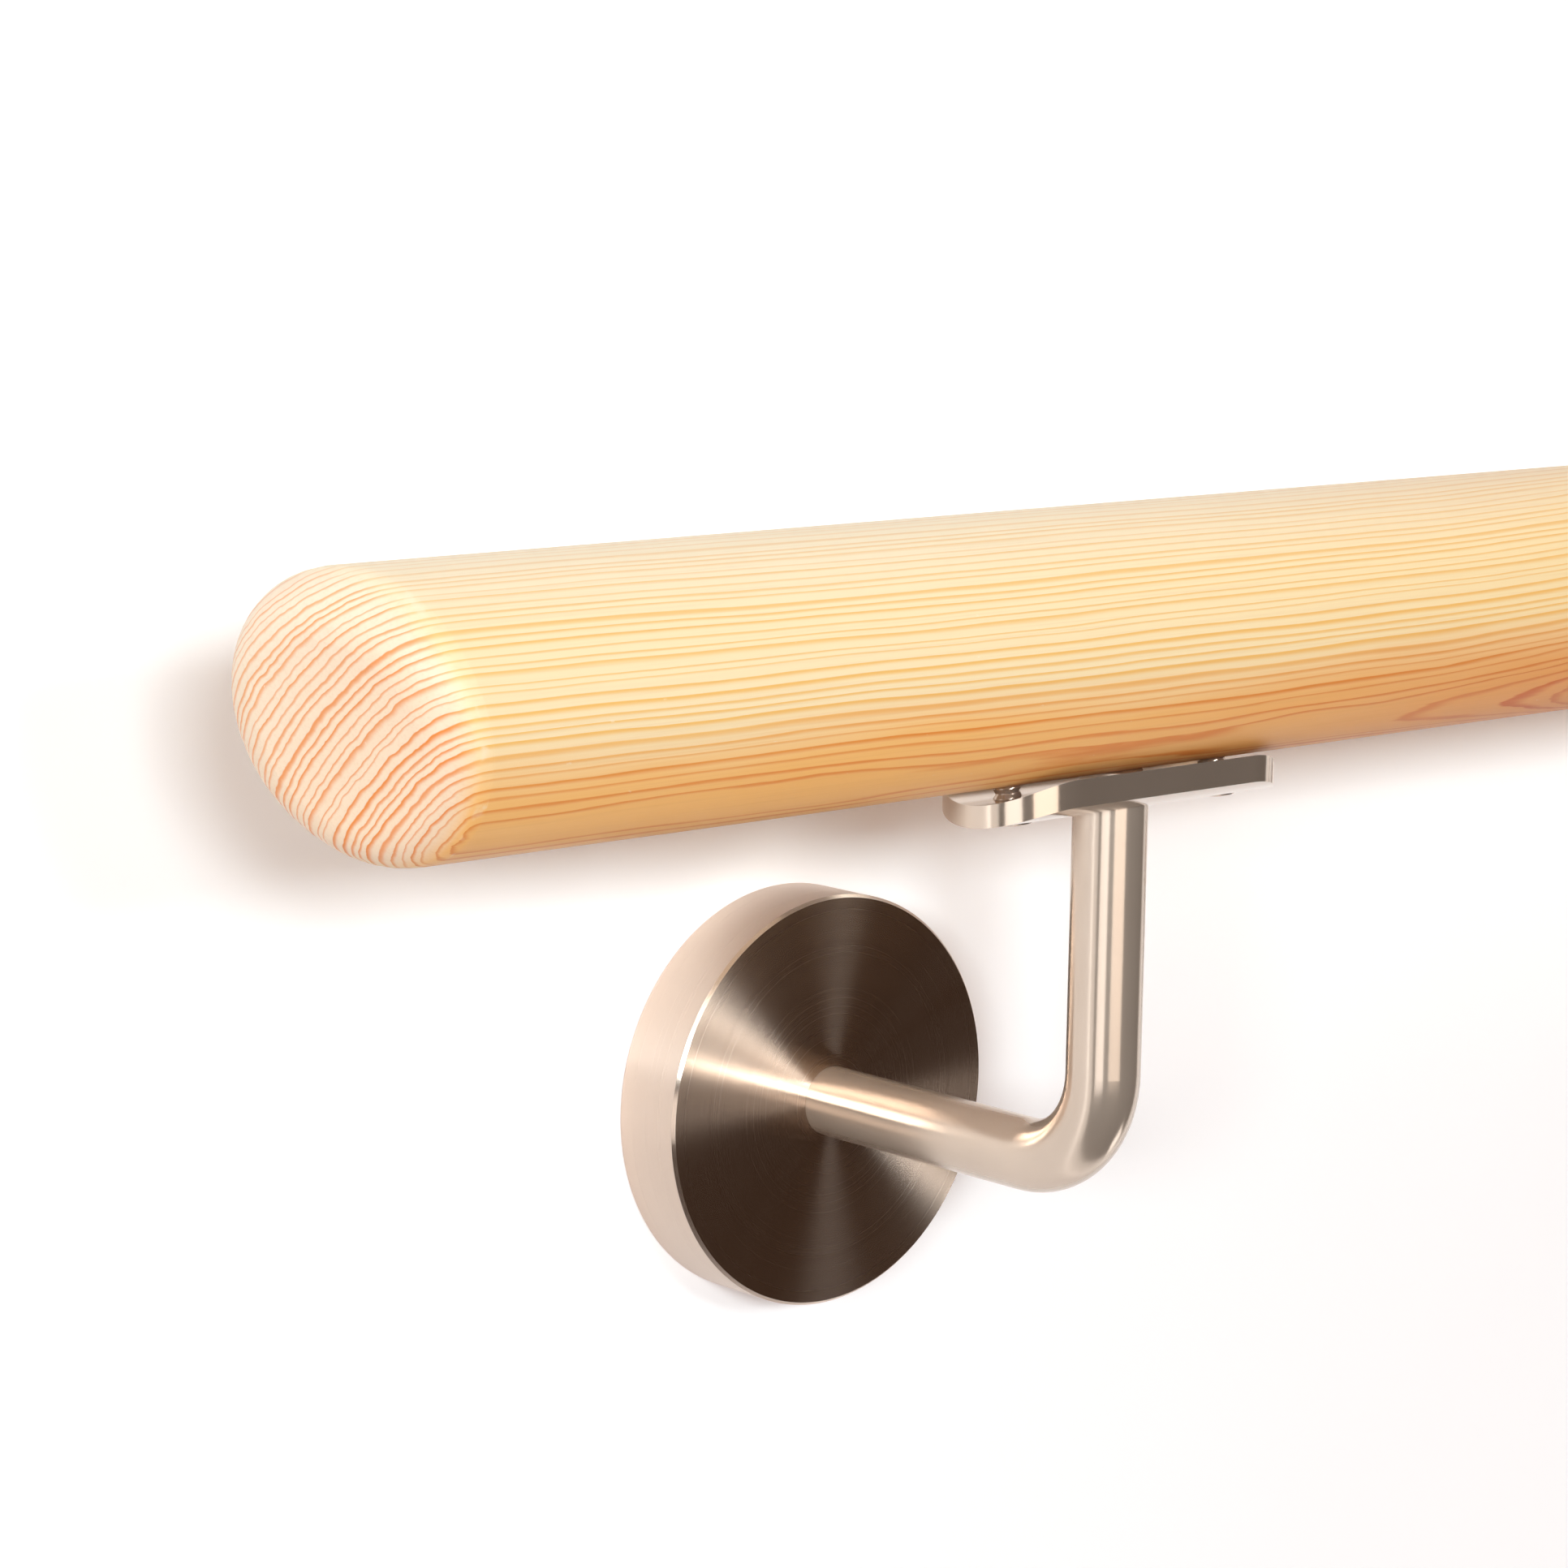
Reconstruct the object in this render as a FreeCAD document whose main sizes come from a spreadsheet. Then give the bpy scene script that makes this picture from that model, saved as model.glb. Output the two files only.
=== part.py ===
import FreeCAD, Part
import math
import os
import Sketcher

# A length of round wooden stair handrail on two steel wall brackets. It lies on the backs of its
# rosettes: X runs along the rail, Y is up the wall and Z points out of the wall. The origin is on
# the wall plane, under the middle of the whole part. Sizes are in millimetres and degrees.

SIZES = {
    "rail_diameter": 42.0,
    "rail_length": 600.0,
    "rail_rounding": 7.5,
    "end_slant": 22.5,
    "end_turn": 45.0,
    "bracket_inset": 157.5,
    "rosette_diameter": 71.0,
    "rosette_thickness": 13.5,
    "rosette_chamfer": 0.5,
    "rod_diameter": 12.0,
    "rod_reach": 77.0,
    "bend_radius": 16.5,
    "saddle_level": 59.5,
    "saddle_length": 64.0,
    "saddle_width": 25.0,
    "saddle_thickness": 3.5,
    "saddle_radius": 20.0,
    "socket_depth": 3.0,
    "thread_core": 6.8,
    "thread_depth": 8.5,
    "rod_screw_size": 6.0,
    "rod_screw_length": 16.0,
    "rod_screw_head": 10.0,
    "rod_screw_head_height": 2.5,
    "rod_screw_hole": 6.4,
    "rod_screw_key": 3.0,
    "rod_screw_key_depth": 1.2,
    "thread_runout": 1.0,
    "running_gap": 0.05,
}

# Sizes that follow from the ones in the sheet. The rail's length is from tip to tip, and the end
# plane crosses its axis nearer to the middle than the rounded tip is.
RAIL_RADIUS = "(Sizes.rail_diameter / 2)"
SLOPE = "tan(Sizes.end_slant * 1 deg)"
END_X = (f"(Sizes.rail_length / 2 - {SLOPE} * ({RAIL_RADIUS} - Sizes.rail_rounding)"
         f" + Sizes.rail_rounding * (1 / cos(Sizes.end_slant * 1 deg) - 1))")
BRACKET_X = "(Sizes.rail_length / 2 - Sizes.bracket_inset)"
SADDLE_OUTER = "(Sizes.saddle_radius + Sizes.saddle_thickness)"
SADDLE_TOP = "(Sizes.saddle_level + Sizes.saddle_thickness)"
RAIL_BOTTOM = f"({SADDLE_TOP} + Sizes.rod_screw_head_height)"
RAIL_LEVEL = f"({RAIL_BOTTOM} + {RAIL_RADIUS})"
MIDDLE = f"(({RAIL_LEVEL} + {RAIL_RADIUS} - Sizes.rosette_diameter / 2) / 2)"

os.makedirs("parts", exist_ok=True)
doc = FreeCAD.newDocument("stair_handrail_length")


def make_sheet():
    """Put every driving dimension in the sheet under its own alias."""
    sheet = doc.addObject("Spreadsheet::Sheet", "Sizes")
    for row, (alias, value) in enumerate(SIZES.items(), start=1):
        sheet.set(f"A{row}", alias)
        sheet.set(f"B{row}", str(value))
        sheet.setAlias(f"B{row}", alias)
    doc.recompute()


def make_body(label):
    body = doc.addObject("PartDesign::Body", label)
    body.Label = label
    return body


def place(body, x, y, z):
    """Bind where the body stands in the shared frame."""
    body.setExpression("Placement.Base.x", x)
    body.setExpression("Placement.Base.y", f"{y} - {MIDDLE}")
    body.setExpression("Placement.Base.z", z)


def make_sketch(body, role, name, lift=None):
    """Attach a sketch to one of the body's own origin planes, lifted along that plane's normal."""
    sketch = body.newObject("Sketcher::SketchObject", name)
    plane = next(item for item in body.Origin.OriginFeatures if item.Role == role)
    sketch.AttachmentSupport = [(plane, "")]
    sketch.MapMode = "FlatFace"
    if lift is not None:
        sketch.setExpression("AttachmentOffset.Base.z", lift)
    return sketch


def bind(sketch, constraint, expression):
    """Add a dimension to a sketch and bind it to the sheet."""
    index = sketch.addConstraint(constraint)
    name = f"size_{index}"
    sketch.renameConstraint(index, name)
    sketch.setExpression(f"Constraints.{name}", expression)


def pin(sketch, geometry, point, x, y):
    """Hold one point of a sketch at x, y from the sketch's origin."""
    for kind, axis, value in (("DistanceX", -2, x), ("DistanceY", -1, y)):
        if value == "0":
            sketch.addConstraint(Sketcher.Constraint("PointOnObject", geometry, point, axis))
        else:
            bind(sketch, Sketcher.Constraint(kind, -1, 1, geometry, point, 1.0), value)


def draw_circle(sketch, diameter, x="0", y="0"):
    start = Part.Circle(FreeCAD.Vector(1, 1, 0), FreeCAD.Vector(0, 0, 1), 1)
    circle = sketch.addGeometry(start, False)
    pin(sketch, circle, 3, x, y)
    bind(sketch, Sketcher.Constraint("Diameter", circle, 2.0), diameter)


def draw_outline(sketch, corners):
    """Draw a closed outline of straight lines through corners given as expressions."""
    count = len(corners)
    rough = [FreeCAD.Vector(math.cos(2 * math.pi * i / count), math.sin(2 * math.pi * i / count), 0)
             for i in range(count)]
    lines = [sketch.addGeometry(Part.LineSegment(rough[i], rough[(i + 1) % count]), False)
             for i in range(count)]
    for i, line in enumerate(lines):
        sketch.addConstraint(Sketcher.Constraint("Coincident", line, 2, lines[(i + 1) % count], 1))
        pin(sketch, line, 1, *corners[i])


def draw_hexagon(sketch, across_flats):
    """Draw the outline of a hexagon key round the sketch's origin."""
    corners = []
    for i in range(6):
        angle = 30 + 60 * i
        across = 0 if angle in (90, 270) else math.cos(math.radians(angle))
        along = math.sin(math.radians(angle))
        reach = f"{across_flats} / sqrt(3)"
        corners.append(("0" if across == 0 else f"{reach} * {across:.6f}", f"{reach} * {along:.6f}"))
    draw_outline(sketch, corners)


def pad_both_ways(body, sketch, length):
    pad = body.newObject("PartDesign::Pad", "Pad")
    pad.Profile = sketch
    pad.Midplane = True
    pad.setExpression("Length", length)
    doc.recompute()


def pocket(body, sketch, depth=None, backwards=False, both_ways=False):
    """Cut a sketch out of the body, right through where no depth is given."""
    before = body.Shape.Volume
    cut = body.newObject("PartDesign::Pocket", "Pocket")
    cut.Profile = sketch
    cut.Reversed = backwards
    cut.Midplane = both_ways
    if depth is None:
        cut.Type = "ThroughAll"
    else:
        cut.setExpression("Length", depth)
    doc.recompute()
    if body.Shape.Volume >= before:
        raise RuntimeError(f"{body.Label}: a pocket removed nothing")
    return cut


def revolve(body, sketch):
    """Turn a sketch once round its own upright axis."""
    turned = body.newObject("PartDesign::Revolution", "Revolution")
    turned.Profile = sketch
    turned.ReferenceAxis = (sketch, ["V_Axis"])
    turned.Angle = 360.0
    doc.recompute()


def round_slanted_ends(body, cut, radius):
    """Round the oval edges that a slanted cut leaves."""
    names = [f"Edge{i}" for i, edge in enumerate(cut.Shape.Edges, start=1)
             if isinstance(edge.Curve, Part.Ellipse)]
    fillet = body.newObject("PartDesign::Fillet", "Fillet")
    fillet.Base = (cut, names)
    fillet.setExpression("Radius", radius)
    doc.recompute()


def draw_slanted_ends(sketch):
    """Draw what a slanted saw cut takes off each end, on a plane that is turned about the rail."""
    reach = "Sizes.rail_diameter"
    for side in ("-", ""):
        draw_outline(sketch, [(f"{side}({END_X} + {SLOPE} * {reach})", reach),
                              (f"{side}({END_X} - {SLOPE} * {reach})", f"-{reach}"),
                              (f"{side}Sizes.rail_length", f"-{reach}"),
                              (f"{side}Sizes.rail_length", reach)])
    about_rail = FreeCAD.Rotation(FreeCAD.Vector(1, 0, 0), -1)
    sketch.AttachmentOffset = FreeCAD.Placement(FreeCAD.Vector(), about_rail)
    sketch.setExpression("AttachmentOffset.Rotation.Angle", "-Sizes.end_turn")


def make_rail():
    """Turned wooden rail, its ends sawn at a slant and rounded."""
    body = make_body("handrail")
    section = make_sketch(body, "YZ_Plane", "RailSection")
    draw_circle(section, "Sizes.rail_diameter")
    pad_both_ways(body, section, "Sizes.rail_length + Sizes.rail_diameter")
    ends = make_sketch(body, "XY_Plane", "SlantedEnds")
    draw_slanted_ends(ends)
    cut = pocket(body, ends, both_ways=True)
    round_slanted_ends(body, cut, "Sizes.rail_rounding")
    place(body, "0", RAIL_LEVEL, "Sizes.rod_reach")
    return body


def draw_saddle_section(sketch):
    """Draw a curved strip: two arcs round one centre, cut off at the plate's width."""
    inner = SIZES["saddle_radius"]
    outer = inner + SIZES["saddle_thickness"]
    half = SIZES["saddle_width"] / 2
    centre = FreeCAD.Vector(outer, 0, 0)
    arcs = []
    for radius in (outer, inner):
        swing = math.asin(half / radius)
        circle = Part.Circle(centre, FreeCAD.Vector(0, 0, 1), radius)
        arcs.append(sketch.addGeometry(Part.ArcOfCircle(circle, math.pi - swing, math.pi + swing), False))
    below, above = arcs
    pin(sketch, below, 3, SADDLE_OUTER, "0")
    sketch.addConstraint(Sketcher.Constraint("Coincident", above, 3, below, 3))
    bind(sketch, Sketcher.Constraint("Radius", below, outer), SADDLE_OUTER)
    bind(sketch, Sketcher.Constraint("Radius", above, inner), "Sizes.saddle_radius")
    for point, side in ((1, 1), (2, -1)):
        ends = [FreeCAD.Vector(outer - math.sqrt(radius ** 2 - half ** 2), side * half, 0)
                for radius in (outer, inner)]
        edge = sketch.addGeometry(Part.LineSegment(*ends), False)
        sketch.addConstraint(Sketcher.Constraint("Coincident", edge, 1, below, point))
        sketch.addConstraint(Sketcher.Constraint("Coincident", edge, 2, above, point))
        sketch.addConstraint(Sketcher.Constraint("Horizontal", edge))
        sign = "" if side > 0 else "-"
        bind(sketch, Sketcher.Constraint("DistanceY", -1, 1, edge, 1, side * half),
             f"{sign}Sizes.saddle_width / 2")


def draw_around_stadium(sketch):
    """Draw a frame round the plate and, inside it, the plate's outline with its round ends."""
    half = SIZES["saddle_width"] / 2
    straight = SIZES["saddle_length"] / 2 - half
    arcs = []
    for side, turn in ((1, -math.pi / 2), (-1, math.pi / 2)):
        circle = Part.Circle(FreeCAD.Vector(side * straight, 0, 0), FreeCAD.Vector(0, 0, 1), half)
        arcs.append(sketch.addGeometry(Part.ArcOfCircle(circle, turn, turn + math.pi), False))
    right, left = arcs
    top = sketch.addGeometry(Part.LineSegment(FreeCAD.Vector(straight, half, 0),
                                              FreeCAD.Vector(-straight, half, 0)), False)
    bottom = sketch.addGeometry(Part.LineSegment(FreeCAD.Vector(-straight, -half, 0),
                                                 FreeCAD.Vector(straight, -half, 0)), False)
    for first, second in ((right, top), (top, left), (left, bottom), (bottom, right)):
        sketch.addConstraint(Sketcher.Constraint("Tangent", first, 2, second, 1))
    pin(sketch, right, 3, "(Sizes.saddle_length - Sizes.saddle_width) / 2", "0")
    pin(sketch, left, 3, "-(Sizes.saddle_length - Sizes.saddle_width) / 2", "0")
    bind(sketch, Sketcher.Constraint("Radius", right, half), "Sizes.saddle_width / 2")
    sketch.addConstraint(Sketcher.Constraint("Equal", right, left))
    reach = "Sizes.saddle_length"
    draw_outline(sketch, [(f"-{reach}", f"-{reach}"), (reach, f"-{reach}"),
                          (reach, reach), (f"-{reach}", reach)])


def make_saddle(side, x):
    """Curved plate with round ends that carries the rail."""
    body = make_body(f"saddle_plate_{side}")
    section = make_sketch(body, "YZ_Plane", "SaddleSection")
    draw_saddle_section(section)
    pad_both_ways(body, section, "Sizes.saddle_length")
    outline = make_sketch(body, "XZ_Plane", "SaddleOutline")
    draw_around_stadium(outline)
    pocket(body, outline)
    seat = make_sketch(body, "XZ_Plane", "ScrewHeadSeat", "-Sizes.saddle_thickness")
    draw_circle(seat, "Sizes.rod_screw_head + 4 * Sizes.running_gap")
    pocket(body, seat)
    middle = make_sketch(body, "XZ_Plane", "RodScrewHole")
    draw_circle(middle, "Sizes.rod_screw_hole")
    pocket(body, middle)
    place(body, x, "Sizes.saddle_level", "Sizes.rod_reach")
    return body


def draw_rod_path(sketch):
    """Draw the rod's centre line: out of the wall, round the bend and up to the saddle."""
    reach = SIZES["rod_reach"]
    bend = SIZES["bend_radius"]
    corner = FreeCAD.Vector(bend, reach - bend, 0)
    arm = sketch.addGeometry(Part.LineSegment(FreeCAD.Vector(0, SIZES["rosette_thickness"], 0),
                                              FreeCAD.Vector(0, reach - bend, 0)), False)
    circle = Part.Circle(corner, FreeCAD.Vector(0, 0, 1), bend)
    arc = sketch.addGeometry(Part.ArcOfCircle(circle, math.pi / 2, math.pi), False)
    upright = sketch.addGeometry(Part.LineSegment(FreeCAD.Vector(bend, reach, 0),
                                                  FreeCAD.Vector(SIZES["saddle_level"], reach, 0)), False)
    sketch.addConstraint(Sketcher.Constraint("Tangent", arm, 2, arc, 2))
    sketch.addConstraint(Sketcher.Constraint("Tangent", arc, 1, upright, 1))
    pin(sketch, arm, 1, "0", "Sizes.rosette_thickness - Sizes.socket_depth")
    sketch.addConstraint(Sketcher.Constraint("Vertical", arm))
    sketch.addConstraint(Sketcher.Constraint("Horizontal", upright))
    bind(sketch, Sketcher.Constraint("Radius", arc, bend), "Sizes.bend_radius")
    pin(sketch, upright, 2, "Sizes.saddle_level + Sizes.saddle_thickness", "Sizes.rod_reach")


def make_rod(side, x):
    """Bent round rod, hollowed at its top to the curve of the saddle and tapped for the rod screw."""
    body = make_body(f"bracket_rod_{side}")
    path = make_sketch(body, "YZ_Plane", "RodPath")
    draw_rod_path(path)
    section = make_sketch(body, "XY_Plane", "RodSection", "Sizes.rosette_thickness - Sizes.socket_depth")
    draw_circle(section, "Sizes.rod_diameter")
    pipe = body.newObject("PartDesign::AdditivePipe", "Rod")
    pipe.Profile = section
    pipe.Spine = path
    doc.recompute()
    cope = make_sketch(body, "YZ_Plane", "SaddleCope")
    draw_circle(cope, f"2 * {SADDLE_OUTER}", f"Sizes.saddle_level + {SADDLE_OUTER}", "Sizes.rod_reach")
    pocket(body, cope, both_ways=True)
    tapped = make_sketch(body, "XZ_Plane", "RodScrewThread", f"-{SADDLE_TOP}")
    draw_circle(tapped, "Sizes.rod_screw_size + 2 * Sizes.running_gap", "0", "Sizes.rod_reach")
    pocket(body, tapped, "Sizes.rod_screw_length + Sizes.thread_runout", backwards=True)
    place(body, x, "0", "0")
    return body


def make_rosette(side, x):
    """Turned wall disc with a socket for the rod and a blind threaded hole in its back."""
    body = make_body(f"wall_rosette_{side}")
    profile = make_sketch(body, "XZ_Plane", "RosetteProfile")
    rim = "Sizes.rosette_diameter / 2"
    face = "Sizes.rosette_thickness"
    socket = "Sizes.rod_diameter / 2 + Sizes.running_gap"
    floor = "Sizes.rosette_thickness - Sizes.socket_depth"
    core = "Sizes.thread_core / 2"
    draw_outline(profile, [(core, "0"), (rim, "0"), (rim, f"{face} - Sizes.rosette_chamfer"),
                           (f"{rim} - Sizes.rosette_chamfer", face), (socket, face), (socket, floor),
                           ("0", floor), ("0", "Sizes.thread_depth"), (core, "Sizes.thread_depth")])
    revolve(body, profile)
    place(body, x, "0", "0")
    return body


def make_rod_screw(side, x):
    """Low-headed machine screw that holds the saddle on the rod, and on whose head the rail bears."""
    body = make_body(f"rod_screw_{side}")
    profile = make_sketch(body, "XY_Plane", "RodScrewProfile")
    shank = "Sizes.rod_screw_size / 2"
    head = "Sizes.rod_screw_head / 2"
    top = "Sizes.rod_screw_head_height"
    tip = "-Sizes.rod_screw_length"
    draw_outline(profile, [("0", tip), (shank, tip), (shank, "0"), (head, "0"), (head, top), ("0", top)])
    revolve(body, profile)
    key = make_sketch(body, "XZ_Plane", "RodScrewKey", f"-{top}")
    draw_hexagon(key, "Sizes.rod_screw_key")
    pocket(body, key, "Sizes.rod_screw_key_depth", backwards=True)
    place(body, x, SADDLE_TOP, "Sizes.rod_reach")
    return body


def make_bracket(side, sign):
    """Make one whole bracket and the screw that holds it together."""
    x = f"{sign}{BRACKET_X}"
    return [make(side, x) for make in (make_rosette, make_rod, make_saddle, make_rod_screw)]


def check_and_write(bodies):
    """Stop on any broken feature, then write one file for each piece."""
    doc.recompute()
    for item in doc.Objects:
        if "Invalid" in item.State or "Error" in item.State:
            raise RuntimeError(f"{item.Name} ({item.Label}) did not build: {item.State}")
    volumes = {body.Label: body.Shape.Volume for body in bodies}
    for body in bodies:
        shape = body.Shape
        if shape.isNull() or not shape.isValid() or len(shape.Solids) != 1:
            raise RuntimeError(f"{body.Label}: the shape isn't one good solid")
        twin = body.Label.replace("_left", "_right")
        if not math.isclose(volumes[twin], shape.Volume, rel_tol=1e-3):
            raise RuntimeError(f"{body.Label} and {twin} differ")
        shape.exportStep(f"parts/{body.Label}.step")
        box = shape.BoundBox
        print(f"{body.Label}: {shape.Volume:.0f} mm3, x {box.XMin:.2f} {box.XMax:.2f},"
              f" y {box.YMin:.2f} {box.YMax:.2f}, z {box.ZMin:.2f} {box.ZMax:.2f}")


make_sheet()
check_and_write([make_rail()] + make_bracket("left", "-") + make_bracket("right", ""))
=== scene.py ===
import math

import bmesh
import bpy
from mathutils import Matrix, Vector


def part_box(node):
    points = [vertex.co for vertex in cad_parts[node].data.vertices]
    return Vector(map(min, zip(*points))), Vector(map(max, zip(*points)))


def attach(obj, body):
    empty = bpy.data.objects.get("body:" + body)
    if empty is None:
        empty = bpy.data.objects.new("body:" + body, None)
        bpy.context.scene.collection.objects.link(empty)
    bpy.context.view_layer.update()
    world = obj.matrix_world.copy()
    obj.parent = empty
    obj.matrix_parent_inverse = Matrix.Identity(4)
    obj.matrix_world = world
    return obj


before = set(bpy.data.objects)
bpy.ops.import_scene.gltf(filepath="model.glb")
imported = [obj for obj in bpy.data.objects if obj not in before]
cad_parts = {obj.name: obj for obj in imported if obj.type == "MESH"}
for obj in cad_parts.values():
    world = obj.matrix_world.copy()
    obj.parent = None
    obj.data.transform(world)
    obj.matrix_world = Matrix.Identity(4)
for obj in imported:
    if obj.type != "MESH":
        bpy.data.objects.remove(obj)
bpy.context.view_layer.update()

# The rail lies on its rosettes, so the floor takes the wall's place: X runs along the rail, Y is up
# the wall and Z is out of it. Lengths are in metres, but the widths and shifts of growth rings and the
# distances from their pith are in millimetres.
SIDES = {"left": -1, "right": 1}
MILLIMETRES = 1000.0
ROD_BEND_RADIUS = 0.0165

# Wood screws that hold the rail to the saddle plates. Heights are above a plate's underside, and the
# head's profile gives heights with shares of its radius.
SCREW_OFFSET = 0.023
SCREW_GRIP = 0.0066
SCREW_CORE = 0.0018
SCREW_THREAD = 0.0005
SCREW_PITCH = 0.0016
SCREW_HEAD_RADIUS = 0.0040
SCREW_HEAD = ((0.0006, 1.0), (0.0001, 1.0), (-0.0001, 0.93), (-0.00025, 0.76), (-0.0003, 0.57))
SCREW_KEY = 0.0030
SCREW_KEY_HEIGHTS = (-0.0003, -0.00003)
SCREW_STEPS = 36
SCREW_LEVELS = 33
SCREW_SHARP_ANGLE = math.radians(35.0)

# Growth rings: the pith's place in metres from the rail's axis along Y and Z, and the width of a ring.
# Inside the tight radius the rings get narrower. Each wave gives how often it comes in a metre along the
# rail and across it, its detail and its height.
PITH_PLACE = (-0.078, 0.0706)
RING_PITCH = 1.25
TIGHT_RADIUS = 92.0
TIGHT_DEPTH = 8.0
TIGHT_RATE = 0.05
RING_WAVES = ((11.0, 30.0, 2.0, 2.4), (7.0, 260.0, 3.0, 0.9), (60.0, 420.0, 2.0, 0.25))
UNEVEN_SCALE = 0.45
UNEVEN_RINGS = 0.9

# a knot low on the rail, by X and Y, pushes the rings aside
KNOT_PLACE = (0.010, 0.030)
KNOT_REACH = 0.060
KNOT_PUSH = 5.0

# a ring runs from 0 to 1, and its dark line lies near its end
LINE_WIDTH = (0.32, 0.68)
LINE_STRENGTH = (0.58, 1.00)
LINE_TOP = (0.88, 0.90)
LINE_END = 0.99

# Zones of the wood: the distances from the pith between which one passes into the next, and where along
# the rail their colours turn deeper round the knot and paler again. The pith lies below the rail, so on the
# side the deeper orange heart zone falls on the lower side and is partly painted shade, and the paler outer
# zone falls on the top and is partly a painted sheen.
HEART_SHADE_TO_MIDDLE = (88.0, 97.0)
MIDDLE_TO_OUTER_SHEEN = (105.0, 125.0)
ZONE_BLOTCH = 5.0
DEEP_START = (-0.22, 0.05)
DEEP_END = (0.32, 0.08)

# screen colours of the wood in its heart, middle and outer zones; on the side the heart's deeper orange is
# partly painted shade below and the outer zone's paleness partly a painted sheen on top
SIDE_WOOD = ((254, 188, 104), (249, 222, 178), (247, 226, 195))
SIDE_LINES = ((232, 120, 14), (243, 187, 104), (242, 203, 150))
DEEP_WOOD = ((234, 150, 84), (247, 212, 158), (240, 208, 170))
DEEP_LINES = ((206, 88, 20), (240, 180, 98), (233, 186, 128))
END_WOOD = ((243, 211, 182), (244, 216, 189), (245, 223, 200))
END_LINES = ((230, 126, 50), (233, 134, 58), (238, 154, 88))

# Finer marks on the wood: their screen colour, the share of it that is mixed in, and the levels of the
# noise between which they show.
SPECK_COLOUR = (236, 196, 154)
SPECK_SHARE = 0.35
FIBRE_COLOUR = (206, 140, 80)
FIBRE_SHARE = 0.10
FIBRE_LEVELS = (0.45, 0.80)
# the next three make the ridge round the ends paler in blotches
RIDGE_PALER_COLOUR = (250, 230, 200)
RIDGE_PALER_SHARE = 0.45
RIDGE_PALER_LEVELS = (0.50, 0.66)
SCUFF_COLOUR = (252, 234, 206)
SCUFF_SHARE = 0.55
SCUFF_LEVELS = (0.70, 0.78)

# how squarely the surface faces along the rail: on the ends, and on the ridge round them
END_FACING = (0.20, 0.70)
RIDGE_START = (0.02, 0.10)
RIDGE_END = (0.30, 0.16)

# screen colours of the steel, whose warm tint is partly a painted reflection of the warm room, and the
# grooves in a metre of its brushing
BRUSHED_DARK = (208, 188, 173)
BRUSHED_LIGHT = (221, 203, 188)
SATIN_DARK = (199, 181, 165)
SATIN_LIGHT = (213, 195, 179)
GROOVES = 9000.0
GRAIN_ROUGHNESS = 0.06

# The floor turns up into a low backdrop at its edges. It glows white from where the object's shadows
# have ended, and warmly nearer by. It lies a little below the object, so that the two don't touch.
FLOOR_HALF = 20.0
BACKDROP_HEIGHT = 3.8
FLOOR_DROP = 0.0002
FLOOR_NEAR = 0.45
FLOOR_FAR = 1.20
FLOOR_COLOUR = (0.96, 0.97, 0.98, 1.0)
GLOW_NEAR = (0.130, 0.072, 0.060, 1.0)
GLOW_FAR = (1.0, 1.0, 1.0, 1.0)

# the lamps' distance from the point that they face, their tints, and the dim warm room round them
LIT_POINT = Vector((-0.12, 0.0, 0.05))
LAMP_DISTANCE = 3.5
WHITE = (1.0, 1.0, 1.0)
COOL = (0.89, 0.97, 1.0)
GREENISH = (0.95, 1.0, 0.95)
IVORY = (1.0, 0.95, 0.88)
LINEN = (1.0, 0.92, 0.84)
CREAM = (1.0, 0.85, 0.70)
AMBER = (1.0, 0.56, 0.36)
ROOM_COLOUR = (0.055, 0.033, 0.022, 1.0)

# the photo's view; the lens and the sensor's width are in millimetres
CAMERA_PLACE = (-0.6429, 0.1401, 0.5545)
CAMERA_AHEAD = (0.66113, -0.16280, -0.73239)
CAMERA_UP = (0.09783, 0.98655, -0.13099)
CAMERA_LENS = 101.886
CAMERA_SENSOR = 36.0
CAMERA_NEAR = 0.02


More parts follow.
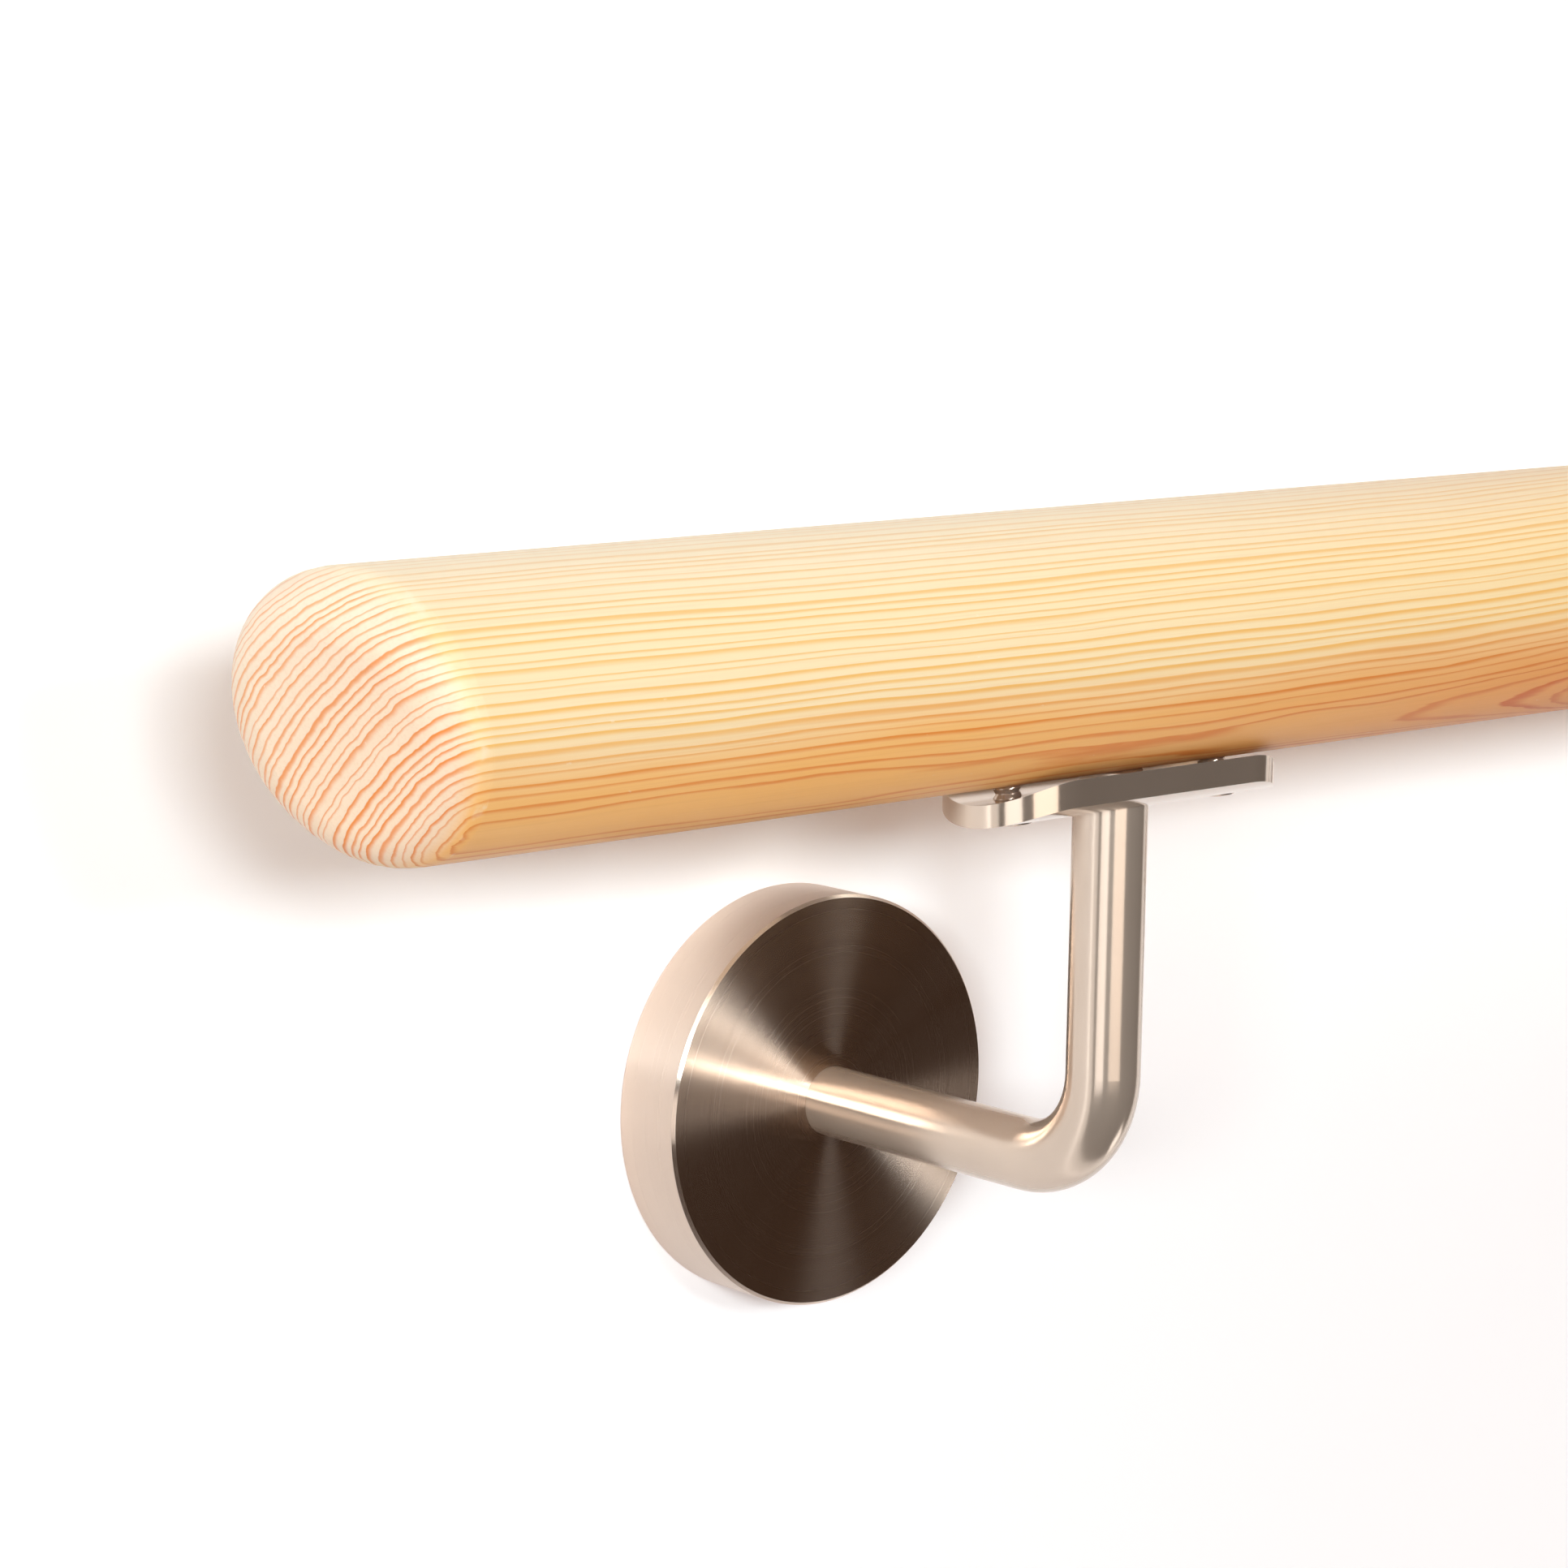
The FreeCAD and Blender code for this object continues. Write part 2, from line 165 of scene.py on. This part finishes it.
class Nodes:
    """A short way to add and join the nodes of one material."""

    def __init__(self, name):
        self.material = bpy.data.materials.new(name)
        self.material.use_nodes = True
        self.tree = self.material.node_tree
        self.surface = self.tree.nodes["Principled BSDF"]
        self.place = self.add("ShaderNodeTexCoord", {}).outputs["Object"]

    def add(self, kind, inputs, **settings):
        """Add a node with its settings and its inputs, which go by name or by number."""
        node = self.tree.nodes.new(kind)
        for key, value in settings.items():
            setattr(node, key, value)
        for key, value in inputs.items():
            self.put(node, key, value)
        return node

    def put(self, node, key, value):
        """Set one input of a node to a value or to another node's output."""
        if isinstance(value, bpy.types.NodeSocket):
            self.tree.links.new(value, node.inputs[key])
        else:
            node.inputs[key].default_value = value

    def put_surface(self, inputs):
        """Set several inputs of the surface."""
        for key, value in inputs.items():
            self.put(self.surface, key, value)

    def math(self, operation, first, second=0.0, third=0.0):
        """Work out one operation on up to three values."""
        node = self.add("ShaderNodeMath", {0: first, 1: second, 2: third}, operation=operation)
        return node.outputs[0]

    def squares(self, first, second):
        """The sum of two squares."""
        return self.math("MULTIPLY_ADD", first, first, self.math("MULTIPLY", second, second))

    def spread(self, share, low, high):
        """Go evenly from low at 0 to high at 1."""
        return self.math("MULTIPLY_ADD", share, high - low, low)

    def between(self, value, low, high):
        """Rise smoothly from 0 at low to 1 at high, which may be the lower of the two."""
        inputs = {"Value": value, "From Min": low, "From Max": high}
        return self.add("ShaderNodeMapRange", inputs, interpolation_type="SMOOTHSTEP").outputs[0]

    def band(self, value, start, end):
        """Rise from 0 to 1 over the start and fall back over the end."""
        return self.math("MULTIPLY", self.between(value, *start), self.between(value, *end))

    def noise(self, along, across, detail=2.0, roughness=0.5):
        """Noise with this many spots in a metre along the rail and across it."""
        scales = {0: self.place, 1: (along, across, across)}
        place = self.add("ShaderNodeVectorMath", scales, operation="MULTIPLY").outputs[0]
        inputs = {"Vector": place, "Scale": 1.0, "Detail": detail, "Roughness": roughness}
        return self.add("ShaderNodeTexNoise", inputs).outputs["Fac"]

    def split(self, vector):
        """The three parts of a vector."""
        return self.add("ShaderNodeSeparateXYZ", {"Vector": vector}).outputs

    def mix(self, amount, first, second):
        """Mix two colours, which are the node's inputs 6 and 7 and its output 2."""
        node = self.add("ShaderNodeMix", {0: amount, 6: first, 7: second}, data_type="RGBA")
        return node.outputs[2]

    def bump(self, height, strength, distance):
        """Roughen the surface by a height."""
        node = self.add("ShaderNodeBump", {"Height": height, "Strength": strength, "Distance": distance})
        self.put(self.surface, "Normal", node.outputs["Normal"])


def colour(screen):
    """A screen colour from 0 to 255 as the linear colour that a shader takes."""
    def linear(level):
        part = level / 255.0
        return part / 12.92 if part <= 0.04045 else ((part + 0.055) / 1.055) ** 2.4
    return tuple(linear(level) for level in screen) + (1.0,)


def middle(node):
    """The middle of a CAD node's box."""
    low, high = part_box(node)
    return (low + high) / 2.0


def ring_radius(n):
    """The distance from the pith in millimetres, wavy along the rail and pushed aside by a knot."""
    along, up, out = n.split(n.place)
    rail = middle("handrail")
    pith_up = n.math("SUBTRACT", up, rail.y + PITH_PLACE[0])
    pith_out = n.math("SUBTRACT", out, rail.z + PITH_PLACE[1])
    radius = n.math("MULTIPLY", n.math("SQRT", n.squares(pith_up, pith_out)), MILLIMETRES)
    for wave_along, wave_across, detail, height in RING_WAVES:
        radius = n.math("MULTIPLY_ADD", n.noise(wave_along, wave_across, detail), height, radius)

    from_knot = n.math("DIVIDE", n.math("SUBTRACT", along, KNOT_PLACE[0]), KNOT_REACH)
    above_knot = n.math("DIVIDE", n.math("SUBTRACT", up, KNOT_PLACE[1]), KNOT_REACH)
    push = n.math("EXPONENT", n.math("MULTIPLY", n.squares(from_knot, above_knot), -1.0))
    return n.math("MULTIPLY_ADD", push, -KNOT_PUSH, radius)


def ring_lines(n, radius):
    """The dark latewood line that ends each growth ring, from 0 to 1, some thin and some thick."""
    inside = n.math("MAXIMUM", n.math("SUBTRACT", TIGHT_RADIUS, radius), 0.0)
    inside = n.math("MINIMUM", inside, TIGHT_DEPTH)
    rings = n.math("MULTIPLY", radius, 1.0 / RING_PITCH)
    rings = n.math("MULTIPLY_ADD", n.math("MULTIPLY", inside, inside), -TIGHT_RATE, rings)
    uneven_inputs = {"W": rings, "Scale": UNEVEN_SCALE, "Detail": 1.0}
    uneven = n.add("ShaderNodeTexNoise", uneven_inputs, noise_dimensions="1D").outputs["Fac"]
    rings = n.math("MULTIPLY_ADD", uneven, UNEVEN_RINGS, rings)

    phase = n.math("FRACT", rings)
    number = n.math("FLOOR", rings)
    chance = n.add("ShaderNodeTexWhiteNoise", {"W": number}, noise_dimensions="1D").outputs["Value"]
    width = n.spread(n.math("MULTIPLY", chance, chance), *LINE_WIDTH)
    top_start, top_end = LINE_TOP
    line = n.band(phase, (n.math("SUBTRACT", top_end, width), top_start), (LINE_END, top_end))
    return n.math("MULTIPLY", line, n.spread(chance, *LINE_STRENGTH))


def wood_zones_and_painted_light(n, radius):
    """A function that mixes three colours: orange near the pith, golden further out, paler outside, which
    on the side are partly painted shade below and a painted sheen on top.
    """
    blotch = n.noise(along=16.0, across=120.0, detail=3.0)
    aged = n.math("MULTIPLY_ADD", blotch, ZONE_BLOTCH, radius)
    # on the side the deeper orange heart below is partly painted shade, and the paler outside on top partly
    # a painted sheen
    golden = n.between(aged, *HEART_SHADE_TO_MIDDLE)
    outer_and_sheen = n.between(aged, *MIDDLE_TO_OUTER_SHEEN)

    def zones_and_shading(colours):
        heart, centre, outer = (colour(screen) for screen in colours)
        return n.mix(outer_and_sheen, n.mix(golden, heart, centre), outer)
    return zones_and_shading


def side_grain(n, line, zones_and_shading):
    """The colour of the rail's side, where the rings show as lines along it."""
    along = n.split(n.place)[0]
    deep = n.band(along, DEEP_START, DEEP_END)
    wood = n.mix(deep, zones_and_shading(SIDE_WOOD), zones_and_shading(DEEP_WOOD))
    lines = n.mix(deep, zones_and_shading(SIDE_LINES), zones_and_shading(DEEP_LINES))
    return n.mix(line, wood, lines)


def end_grain(n, line, zones_and_shading):
    """The colour of the rail's sawn ends, where the rings show as arcs and the pores as specks."""
    specks = n.math("MULTIPLY", n.noise(along=900.0, across=900.0), SPECK_SHARE)
    wood = n.mix(specks, zones_and_shading(END_WOOD), colour(SPECK_COLOUR))
    return n.mix(line, wood, zones_and_shading(END_LINES))


def ridge_and_scuffs(n, facing, wood):
    """Paler in blotches along the ridge where the rounding meets the side, and short scuffs."""
    paler_ridge = n.between(n.noise(along=260.0, across=260.0, detail=3.0), *RIDGE_PALER_LEVELS)
    paler_ridge = n.math("MULTIPLY", n.band(facing, RIDGE_START, RIDGE_END), paler_ridge)
    wood = n.mix(n.math("MULTIPLY", paler_ridge, RIDGE_PALER_SHARE), wood, colour(RIDGE_PALER_COLOUR))
    scuffs = n.between(n.noise(along=330.0, across=900.0, detail=4.0, roughness=0.65), *SCUFF_LEVELS)
    return n.mix(n.math("MULTIPLY", scuffs, SCUFF_SHARE), wood, colour(SCUFF_COLOUR))


def rail_wood():
    """Lacquered softwood: growth rings round a pith outside the rail, with fine fibres along it."""
    n = Nodes("rail_wood")
    radius = ring_radius(n)
    line = ring_lines(n, radius)
    zones_and_shading = wood_zones_and_painted_light(n, radius)
    normal = n.add("ShaderNodeTexCoord", {}).outputs["Normal"]
    facing = n.math("ABSOLUTE", n.split(normal)[0])
    wood = n.mix(n.between(facing, *END_FACING), side_grain(n, line, zones_and_shading), end_grain(n, line, zones_and_shading))
    fibre = n.noise(along=25.0, across=2600.0)
    fibres = n.math("MULTIPLY", n.between(fibre, *FIBRE_LEVELS), FIBRE_SHARE)
    wood = n.mix(fibres, wood, colour(FIBRE_COLOUR))
    n.put_surface({
        "Base Color": ridge_and_scuffs(n, facing, wood),
        "Roughness": n.spread(fibre, 0.44, 0.58),
        "Specular IOR Level": 0.20,
        "Coat Weight": 0.25,
        "Coat Roughness": 0.44,
    })
    n.bump(n.math("ADD", fibre, line), strength=0.12, distance=0.0002)
    return n.material


def rosette_steel(side):
    """Stainless steel brushed in circles round the rosette's axis."""
    n = Nodes(f"rosette_steel_{side}")
    centre = middle(f"wall_rosette_{side}")
    along, up, depth = n.split(n.place)
    across = n.math("SUBTRACT", along, centre.x)
    above = n.math("SUBTRACT", up, centre.y)
    radius = n.math("SQRT", n.squares(across, above))
    profile = n.add("ShaderNodeCombineXYZ", {"X": radius, "Y": depth}).outputs[0]
    groove_inputs = {"Vector": profile, "Scale": GROOVES, "Detail": 4.0}
    grooves = n.add("ShaderNodeTexNoise", groove_inputs, noise_dimensions="2D").outputs["Fac"]
    tangent = n.add("ShaderNodeTangent", {}, direction_type="RADIAL", axis="Z").outputs[0]
    n.put_surface({
        "Metallic": 1.0,
        "Base Color": n.mix(grooves, colour(BRUSHED_DARK), colour(BRUSHED_LIGHT)),
        "Roughness": n.spread(grooves, 0.23, 0.29),
        "Anisotropic": 1.0,
        "Anisotropic Rotation": 0.25,
        "Tangent": tangent,
    })
    n.bump(grooves, strength=0.02, distance=0.00003)
    return n.material


def satin_steel(name, roughness, haze):
    """Stainless steel with a fine satin finish; haze is the share of the light that it scatters."""
    n = Nodes(name)
    grain = n.noise(along=1500.0, across=1500.0, detail=3.0)
    cloud = n.noise(along=60.0, across=60.0)
    n.put_surface({
        "Metallic": 1.0 - haze,
        "Base Color": n.mix(cloud, colour(SATIN_DARK), colour(SATIN_LIGHT)),
        "Roughness": n.spread(grain, roughness, roughness + GRAIN_ROUGHNESS),
    })
    n.bump(grain, strength=0.05, distance=0.00003)
    return n


def rod_steel():
    """Satin steel ground round the rod, so that reflections blur along its bent path only."""
    n = satin_steel("rod_steel", roughness=0.16, haze=0.34)
    bend_up = middle("wall_rosette_left").y + ROD_BEND_RADIUS
    bend_out = middle("saddle_plate_left").z - ROD_BEND_RADIUS
    up, out = n.split(n.place)[1:]
    below_bend = n.math("MAXIMUM", n.math("SUBTRACT", bend_up, up), 0.0)
    beyond_bend = n.math("MAXIMUM", n.math("SUBTRACT", out, bend_out), 0.0)
    path = n.add("ShaderNodeCombineXYZ", {"Y": beyond_bend, "Z": below_bend}).outputs[0]
    n.put_surface({"Tangent": path, "Anisotropic": 0.5})
    return n.material


def floor_white():
    """Matt white that also glows to the camera and in reflections, warmly enough to tint its shadows."""
    n = Nodes("floor_white")
    path = n.add("ShaderNodeLightPath", {})
    seen = n.math("MAXIMUM", path.outputs["Is Camera Ray"], path.outputs["Is Glossy Ray"])
    reach = n.add("ShaderNodeVectorMath", {0: n.place}, operation="LENGTH").outputs["Value"]
    n.put_surface({
        "Base Color": FLOOR_COLOUR,
        "Roughness": 0.9,
        "Specular IOR Level": 0.1,
        "Emission Color": n.mix(n.between(reach, FLOOR_NEAR, FLOOR_FAR), GLOW_NEAR, GLOW_FAR),
        "Emission Strength": seen,
    })
    return n.material


def paint(node, material):
    """Give a CAD node its material."""
    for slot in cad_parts[node].material_slots:
        slot.material = material


def paint_all():
    """Give every CAD node its material."""
    paint("handrail", rail_wood())
    rod = rod_steel()
    plate = satin_steel("plate_steel", roughness=0.10, haze=0.20).material
    screw = satin_steel("screw_steel", roughness=0.28, haze=0.15).material
    for side in SIDES:
        paint(f"wall_rosette_{side}", rosette_steel(side))
        paint(f"bracket_rod_{side}", rod)
        paint(f"saddle_plate_{side}", plate)
        paint(f"rod_screw_{side}", screw)


def ring_of(bm, height, reach):
    """A closed ring of vertices round Y at one height; reach gives the radius at each angle."""
    angles = [2.0 * math.pi * step / SCREW_STEPS for step in range(SCREW_STEPS)]
    return [bm.verts.new((reach(a) * math.sin(a), height, reach(a) * math.cos(a))) for a in angles]


def circle(radius):
    """The radius of a circle at an angle."""
    return lambda angle: radius


def hexagon(across_flats):
    """The radius of a hexagon at an angle."""
    sixth = math.pi / 3.0
    return lambda angle: 0.5 * across_flats / math.cos(angle % sixth - 0.5 * sixth)


def thread(height):
    """The radius of the screw's thread at one height, which climbs one pitch in each turn."""
    def reach(angle):
        part = (height / SCREW_PITCH - angle / (2.0 * math.pi)) % 1.0
        return SCREW_CORE + SCREW_THREAD * (1.0 - abs(2.0 * part - 1.0))
    return reach


def screw_rings(bm):
    """The rings of a screw from its threaded end down to the floor of its key hole."""
    levels = [SCREW_GRIP * step / SCREW_LEVELS for step in range(SCREW_LEVELS, 0, -1)]
    shank = [ring_of(bm, level, thread(level)) for level in levels]
    head = [ring_of(bm, height, circle(share * SCREW_HEAD_RADIUS)) for height, share in SCREW_HEAD]
    key = [ring_of(bm, height, hexagon(SCREW_KEY)) for height in SCREW_KEY_HEIGHTS]
    return shank + head + key


def screw_mesh():
    """A closed mesh of one wood screw, upright along Y."""
    bm = bmesh.new()
    rings = screw_rings(bm)
    for upper, lower in zip(rings, rings[1:]):
        for step in range(SCREW_STEPS):
            after = (step + 1) % SCREW_STEPS
            bm.faces.new((upper[step], upper[after], lower[after], lower[step]))
    bm.faces.new(rings[0])
    bm.faces.new(rings[-1])
    bmesh.ops.recalc_face_normals(bm, faces=bm.faces)
    mesh = bpy.data.meshes.new("rail_screw")
    bm.to_mesh(mesh)
    bm.free()
    mesh.shade_smooth()
    mesh.set_sharp_from_angle(angle=SCREW_SHARP_ANGLE)
    return mesh


def add_rail_screws():
    """Two wood screws on each bracket, up through its saddle plate into the rail."""
    mesh = screw_mesh()
    mesh.materials.append(satin_steel("rail_screw_steel", roughness=0.22, haze=0.15).material)
    for side, sign in SIDES.items():
        bracket_x = middle(f"wall_rosette_{side}").x
        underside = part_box(f"saddle_plate_{side}")[0].y
        plate_out = middle(f"saddle_plate_{side}").z
        for end, shift in (("outer", sign * SCREW_OFFSET), ("inner", -sign * SCREW_OFFSET)):
            screw = bpy.data.objects.new(f"rail_screw_{side}_{end}", mesh)
            screw.location = (bracket_x + shift, underside, plate_out)
            bpy.context.collection.objects.link(screw)
            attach(screw, "root")


def add_floor():
    """A wide floor with its edges turned up, so that low views also end on white."""
    def corners(height):
        signs = ((-1, -1), (1, -1), (1, 1), (-1, 1))
        return [(x * FLOOR_HALF, y * FLOOR_HALF, height) for x, y in signs]

    low = corners(0.0)
    count = len(low)
    edges = [(corner, (corner + 1) % count) for corner in range(count)]
    walls = [(start, end, end + count, start + count) for start, end in edges]
    mesh = bpy.data.meshes.new("floor")
    mesh.from_pydata(low + corners(BACKDROP_HEIGHT), [], [tuple(range(count))] + walls)
    mesh.materials.append(floor_white())
    floor = bpy.data.objects.new("floor", mesh)
    floor.location.z = -FLOOR_DROP
    bpy.context.collection.objects.link(floor)


def add_room():
    """The dim warm room that the steel reflects where no lamp is."""
    world = bpy.data.worlds.new("world")
    bpy.context.scene.world = world
    world.use_nodes = True
    background = world.node_tree.nodes["Background"]
    background.inputs["Color"].default_value = ROOM_COLOUR
    background.inputs["Strength"].default_value = 1.0


def add_lamp(name, direction, size, power, tint):
    """A soft box that faces the object, with its second size along Y as near as it can be."""
    data = bpy.data.lights.new(name, "AREA")
    data.shape = "RECTANGLE"
    data.size, data.size_y = size
    data.energy = power
    data.color = tint
    lamp = bpy.data.objects.new(name, data)
    back = Vector(direction).normalized()
    right = Vector((0.0, 1.0, 0.0)).cross(back).normalized()
    turn = Matrix((right, back.cross(right), back)).transposed()
    lamp.matrix_world = Matrix.Translation(LIT_POINT + LAMP_DISTANCE * back) @ turn.to_4x4()
    bpy.context.collection.objects.link(lamp)
    return lamp


def add_lamps():
    """Two keys and a window, panes that show only in reflections, two fills along Y and two glints."""
    add_lamp("front_key", (-0.483, 0.248, 0.840), (0.74, 0.50), 66.0, COOL)
    add_lamp("left_key", (-0.751, 0.205, 0.627), (0.98, 0.40), 50.0, COOL)
    add_lamp("window", (-0.040, 0.280, 0.959), (0.90, 0.50), 27.0, COOL)
    panes = (add_lamp("front_pane", (-0.22, -0.16, 0.963), (2.20, 0.65), 10.0, LINEN),
             add_lamp("left_pane", (-0.837, -0.156, 0.523), (1.46, 1.23), 11.0, WHITE),
             add_lamp("window_pane", (-0.145, 0.280, 0.949), (0.85, 0.40), 52.0, IVORY))
    for pane in panes:
        pane.visible_diffuse = False
    add_lamp("overhead", (-0.10, 0.85, 0.52), (2.70, 1.50), 14.0, CREAM)
    warm_fill = add_lamp("warm_fill", (-0.20, -0.80, 0.56), (3.00, 3.00), 13.5, AMBER)
    warm_fill.visible_glossy = False
    add_lamp("far_upper_glint", (0.75, 0.60, 0.28), (0.82, 0.82), 8.0, GREENISH)
    add_lamp("far_lower_glint", (0.64, -0.72, 0.27), (0.82, 0.82), 5.0, WHITE)


def add_camera():
    """A camera with the photo's view, fitted to the outlines in it."""
    data = bpy.data.cameras.new("camera")
    data.sensor_width = CAMERA_SENSOR
    data.lens = CAMERA_LENS
    data.clip_start = CAMERA_NEAR
    ahead = Vector(CAMERA_AHEAD).normalized()
    right = ahead.cross(Vector(CAMERA_UP)).normalized()
    up = right.cross(ahead)
    turn = Matrix((right, up, -ahead)).transposed()
    camera = bpy.data.objects.new("camera", data)
    camera.matrix_world = Matrix.Translation(CAMERA_PLACE) @ turn.to_4x4()
    bpy.context.collection.objects.link(camera)
    bpy.context.scene.camera = camera


paint_all()
add_rail_screws()
add_floor()
add_room()
add_lamps()
add_camera()
bpy.context.scene.view_settings.view_transform = "Standard"
